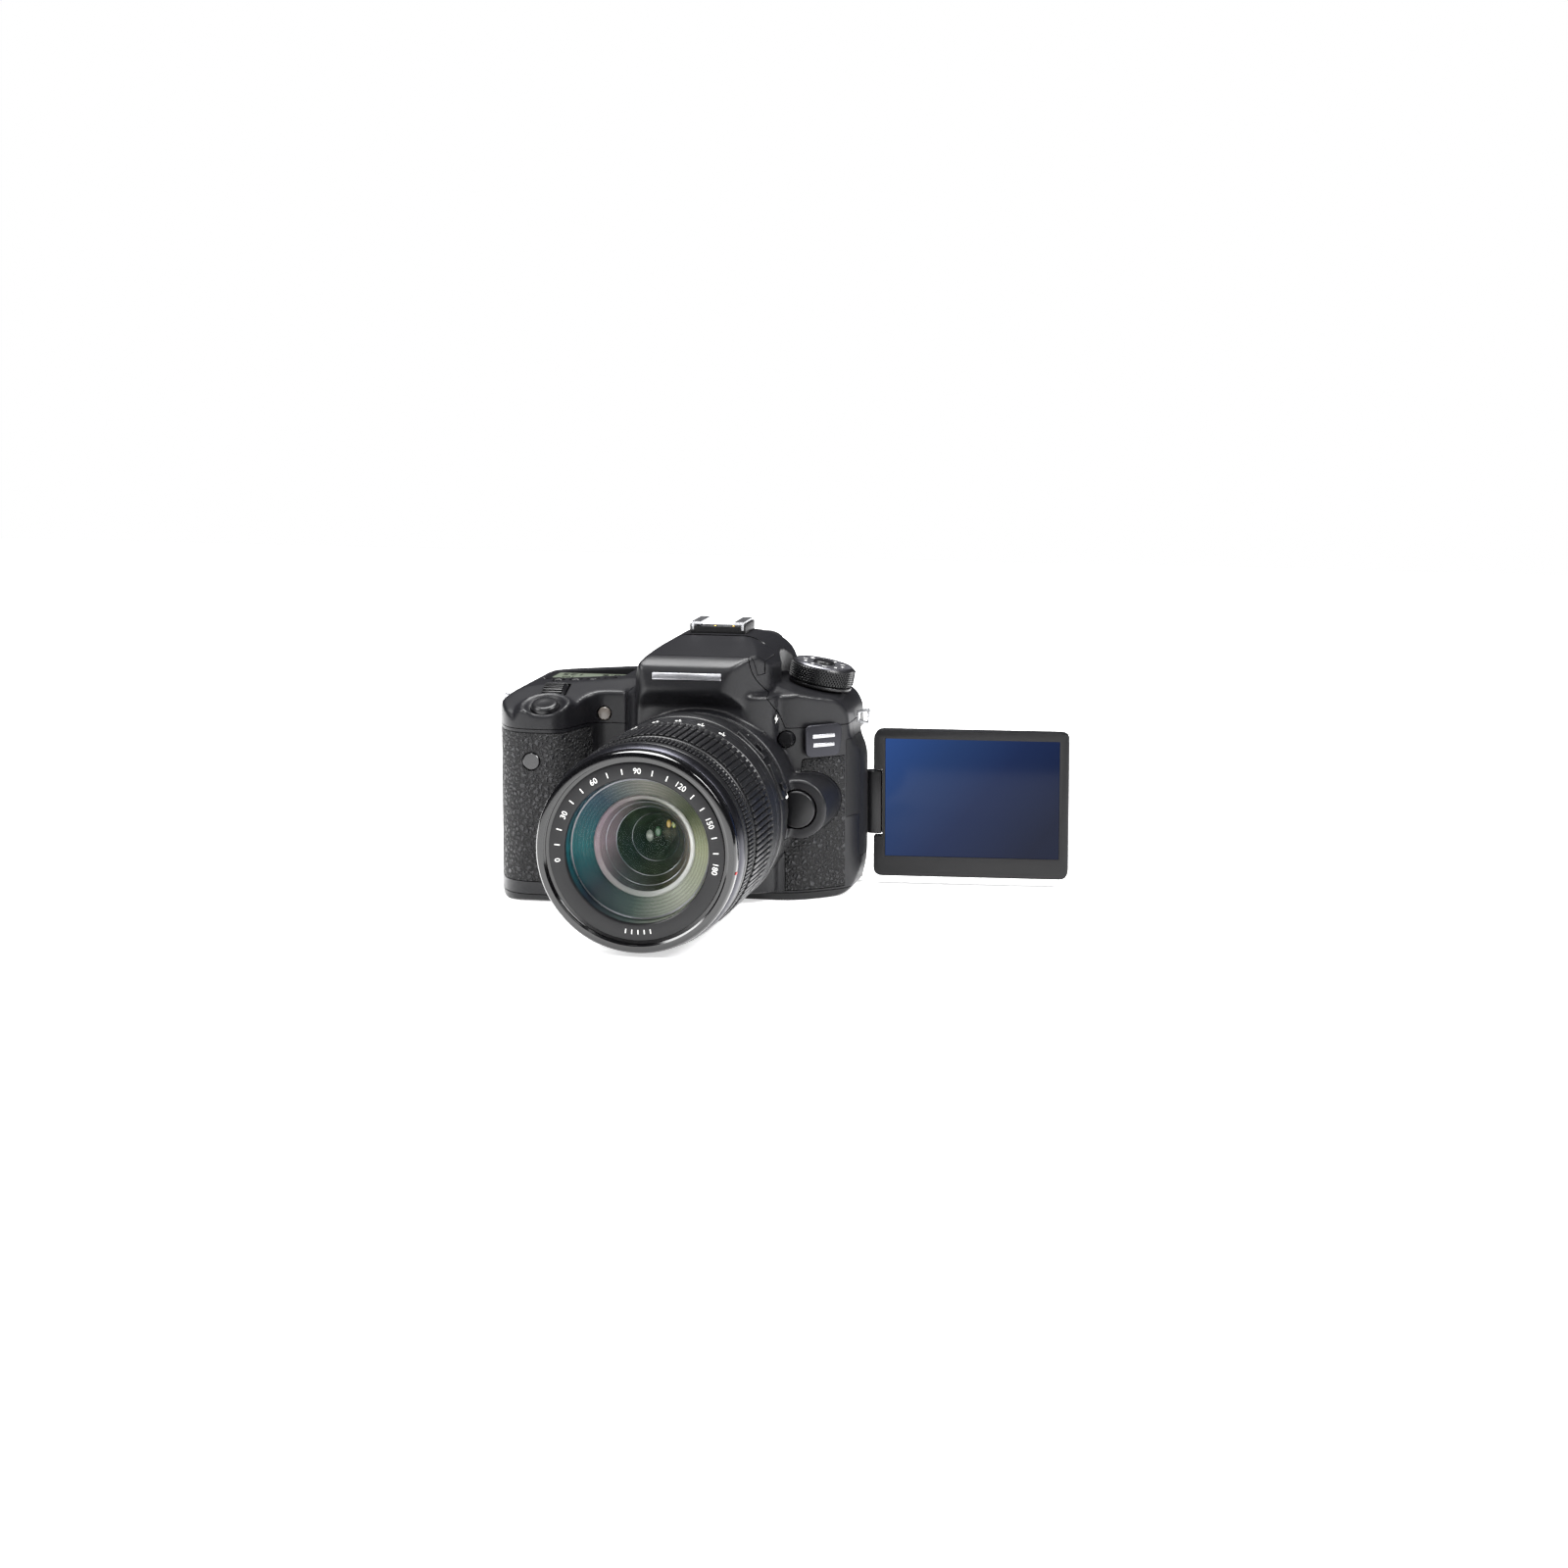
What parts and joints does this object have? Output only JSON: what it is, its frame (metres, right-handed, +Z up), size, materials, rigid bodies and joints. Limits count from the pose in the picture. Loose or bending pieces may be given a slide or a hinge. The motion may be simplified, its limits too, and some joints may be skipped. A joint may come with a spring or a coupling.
{
  "type": "dslr camera",
  "caption": "Digital single-lens reflex camera with a zoom lens, deep hand grip, pop-up flash, mode dial, control dials and a hinged display swung out beside the body.",
  "frame": {"origin": "on the base plate, under the lens axis, in the plane of the image sensor", "axes": "+Z up, -Y along the lens towards the subject, +X towards the side that carries the swing-out display"},
  "size_m": [0.2214, 0.1685, 0.1043],
  "materials": {
    "body_plastic": "fine matte moulded texture",
    "grip_rubber": "pebbled rubber",
    "gloss_plastic": "polished black",
    "lens_plastic": "satin black",
    "control_plastic": "satin black",
    "lens_rubber": "ribbed rubber",
    "bright_steel": "satin bright metal",
    "cast_alloy": "cast and blasted",
    "coated_glass": "coated optical glass",
    "clear_glass": "clear",
    "screen_glass": "display behind glass, lit blue",
    "circuit_board": "solder-masked board",
    "sensor_glass": "coated filter glass over the sensor",
    "lamp_diffuser": "frosted window",
    "mirror_silver": "front-silvered"
  },
  "bodies": {
    "camera_body": {"bottom_cover": "body_plastic", "front_cover": "body_plastic", "rear_cover": "body_plastic", "top_cover": "body_plastic", "grip_rubber": "grip_rubber", "side_rubber": "grip_rubber", "badge_plate": "cast_alloy", "hot_shoe": "bright_steel", "eyecup": "grip_rubber", "eyepiece_lens": "clear_glass", "top_display": "gloss_plastic", "self_timer_lamp": "lamp_diffuser", "remote_sensor": "gloss_plastic", "strap_lug_left": "bright_steel", "strap_lug_right": "bright_steel", "body_mount_ring": "bright_steel", "chassis": "cast_alloy", "pentaprism": "clear_glass", "shutter_unit": "gloss_plastic", "image_sensor": "sensor_glass", "main_board": "circuit_board", "battery": "gloss_plastic"},
    "lens": {"lens_barrel": "lens_plastic", "lens_mount_ring": "bright_steel", "rear_element": "coated_glass"},
    "lens_front": {"front_barrel": "gloss_plastic", "front_element": "coated_glass"},
    "display_panel": {"display_housing": "body_plastic", "display_glass": "screen_glass"},
    "flash": {"flash_head": "body_plastic", "flash_window": "clear_glass"},
    "mode_dial": {"mode_dial": "cast_alloy"},
    "mode_dial_lock": {"mode_dial_lock": "control_plastic"},
    "power_switch": {"power_switch": "control_plastic"},
    "shutter_button": {"shutter_button": "control_plastic"},
    "main_dial": {"main_dial": "control_plastic"},
    "af_button": {"af_button": "control_plastic"},
    "drive_button": {"drive_button": "control_plastic"},
    "iso_button": {"iso_button": "control_plastic"},
    "metering_button": {"metering_button": "control_plastic"},
    "menu_button": {"menu_button": "control_plastic"},
    "info_button": {"info_button": "control_plastic"},
    "live_view_button": {"live_view_button": "control_plastic"},
    "playback_button": {"playback_button": "control_plastic"},
    "af_on_button": {"af_on_button": "control_plastic"},
    "quick_dial": {"quick_dial": "control_plastic"},
    "multi_controller": {"multi_controller": "control_plastic"},
    "set_button": {"set_button": "control_plastic"},
    "flash_button": {"flash_button": "control_plastic"},
    "lens_release_button": {"lens_release_button": "control_plastic"},
    "display_hinge": {"display_hinge": "control_plastic"},
    "reflex_mirror": {"reflex_mirror": "mirror_silver"},
    "card_door": {"card_door": "body_plastic"},
    "battery_door": {"battery_door": "body_plastic"},
    "terminal_cover_front": {"terminal_cover_front": "grip_rubber"},
    "terminal_cover_rear": {"terminal_cover_rear": "grip_rubber"},
    "zoom_ring": {"zoom_ring": "lens_rubber"},
    "focus_ring": {"focus_ring": "lens_rubber"},
    "focus_mode_switch": {"focus_mode_switch": "lens_plastic"},
    "stabilizer_switch": {"stabilizer_switch": "lens_plastic"}
  },
  "joints": [
    {"name": "lens_bayonet_turn", "type": "hinge", "parent": "camera_body", "child": "lens", "pos_m": [0, -0.044, 0.0385], "axis": [0, -1, 0], "range_deg": [0, 60]},
    {"name": "zoom_turn", "type": "hinge", "parent": "lens", "child": "zoom_ring", "pos_m": [0, -0.09, 0.0385], "axis": [0, -1, 0], "range_deg": [0, 70]},
    {"name": "front_barrel_extension", "type": "slide", "parent": "lens", "child": "lens_front", "axis": [0, -1, 0], "range_m": [0, 0.038]},
    {"name": "focus_turn", "type": "hinge", "parent": "lens", "child": "focus_ring", "pos_m": [0, -0.12, 0.0385], "axis": [0, -1, 0], "continuous": true},
    {"name": "focus_mode_slide", "type": "slide", "parent": "lens", "child": "focus_mode_switch", "axis": [-0.7314, 0, 0.682], "range_m": [0, 0.003]},
    {"name": "stabilizer_slide", "type": "slide", "parent": "lens", "child": "stabilizer_switch", "axis": [-0.3746, 0, 0.9272], "range_m": [0, 0.003]},
    {"name": "mode_dial_turn", "type": "hinge", "parent": "camera_body", "child": "mode_dial", "pos_m": [0.0385, 0.002, 0.0796], "axis": [0.1908, 0, 0.9816], "continuous": true},
    {"name": "mode_dial_lock_press", "type": "slide", "parent": "mode_dial", "child": "mode_dial_lock", "axis": [-0.1908, 0, -0.9816], "range_m": [0, 0.0008], "stiffness_N_per_m": 200},
    {"name": "power_switch_turn", "type": "hinge", "parent": "camera_body", "child": "power_switch", "pos_m": [0.0385, 0.002, 0.0796], "axis": [0.1908, 0, 0.9816], "range_deg": [0, 35]},
    {"name": "shutter_press", "type": "slide", "parent": "camera_body", "child": "shutter_button", "axis": [0, 0.342, -0.9397], "range_m": [0, 0.0015], "stiffness_N_per_m": 200},
    {"name": "main_dial_turn", "type": "hinge", "parent": "camera_body", "child": "main_dial", "pos_m": [-0.059, -0.028, 0.0734], "axis": [1, 0, 0], "continuous": true},
    {"name": "af_press", "type": "slide", "parent": "camera_body", "child": "af_button", "axis": [0, 0, -1], "range_m": [0, 0.0008], "stiffness_N_per_m": 200},
    {"name": "drive_press", "type": "slide", "parent": "camera_body", "child": "drive_button", "axis": [0, 0, -1], "range_m": [0, 0.0008], "stiffness_N_per_m": 200},
    {"name": "iso_press", "type": "slide", "parent": "camera_body", "child": "iso_button", "axis": [0, 0, -1], "range_m": [0, 0.0008], "stiffness_N_per_m": 200},
    {"name": "metering_press", "type": "slide", "parent": "camera_body", "child": "metering_button", "axis": [0, 0, -1], "range_m": [0, 0.0008], "stiffness_N_per_m": 200},
    {"name": "menu_press", "type": "slide", "parent": "camera_body", "child": "menu_button", "axis": [0, -1, 0], "range_m": [0, 0.0008], "stiffness_N_per_m": 200},
    {"name": "info_press", "type": "slide", "parent": "camera_body", "child": "info_button", "axis": [0, -1, 0], "range_m": [0, 0.0008], "stiffness_N_per_m": 200},
    {"name": "live_view_press", "type": "slide", "parent": "camera_body", "child": "live_view_button", "axis": [0, -1, 0], "range_m": [0, 0.0008], "stiffness_N_per_m": 200},
    {"name": "playback_press", "type": "slide", "parent": "camera_body", "child": "playback_button", "axis": [0, -1, 0], "range_m": [0, 0.0008], "stiffness_N_per_m": 200},
    {"name": "af_on_press", "type": "slide", "parent": "camera_body", "child": "af_on_button", "axis": [0, -1, 0], "range_m": [0, 0.0008], "stiffness_N_per_m": 200},
    {"name": "quick_dial_turn", "type": "hinge", "parent": "camera_body", "child": "quick_dial", "pos_m": [-0.052, 0.02, 0.035], "axis": [0, 1, 0], "continuous": true},
    {"name": "multi_controller_press", "type": "slide", "parent": "camera_body", "child": "multi_controller", "axis": [0, -1, 0], "range_m": [0, 0.0005], "stiffness_N_per_m": 200},
    {"name": "set_press", "type": "slide", "parent": "camera_body", "child": "set_button", "axis": [0, -1, 0], "range_m": [0, 0.0005], "stiffness_N_per_m": 200},
    {"name": "display_swing", "type": "hinge", "parent": "camera_body", "child": "display_hinge", "pos_m": [0.057, 0.016, 0.0323], "axis": [0, 0, 1], "range_deg": [0, 175.6]},
    {"name": "display_tilt", "type": "hinge", "parent": "display_hinge", "child": "display_panel", "pos_m": [0.05709, 0.01485, 0.0323], "axis": [-0.9971, -0.0767, 0], "range_deg": [-90, 180]},
    {"name": "flash_raise", "type": "hinge", "parent": "camera_body", "child": "flash", "pos_m": [0.0015, -0.0108, 0.0984], "axis": [-1, 0, 0], "range_deg": [0, 75]},
    {"name": "flash_button_press", "type": "slide", "parent": "camera_body", "child": "flash_button", "axis": [0, 1, 0], "range_m": [0, 0.0008], "stiffness_N_per_m": 200},
    {"name": "lens_release_press", "type": "slide", "parent": "camera_body", "child": "lens_release_button", "axis": [0, 1, 0], "range_m": [0, 0.0014], "stiffness_N_per_m": 300},
    {"name": "mirror_flip", "type": "hinge", "parent": "camera_body", "child": "reflex_mirror", "pos_m": [0, -0.008, 0.052], "axis": [-1, 0, 0], "range_deg": [0, 45]},
    {"name": "card_door_swing", "type": "hinge", "parent": "camera_body", "child": "card_door", "pos_m": [-0.0817, -0.0009, 0.039], "axis": [0, 0, 1], "range_deg": [0, 90]},
    {"name": "battery_door_swing", "type": "hinge", "parent": "camera_body", "child": "battery_door", "pos_m": [-0.05235, -0.0165, 0], "axis": [0, -1, 0], "range_deg": [0, 90]},
    {"name": "terminal_front_swing", "type": "hinge", "parent": "camera_body", "child": "terminal_cover_front", "pos_m": [0.0518, -0.0126, 0.046], "axis": [0, 0, -1], "range_deg": [0, 90]},
    {"name": "terminal_rear_swing", "type": "hinge", "parent": "camera_body", "child": "terminal_cover_rear", "pos_m": [0.0563, 0.0085, 0.0375], "axis": [0, 0, 1], "range_deg": [0, 90]}
  ],
  "couplings": [
    {"joint": "front_barrel_extension", "follows": "zoom_turn", "m_per_rad": 0.0311}
  ]
}
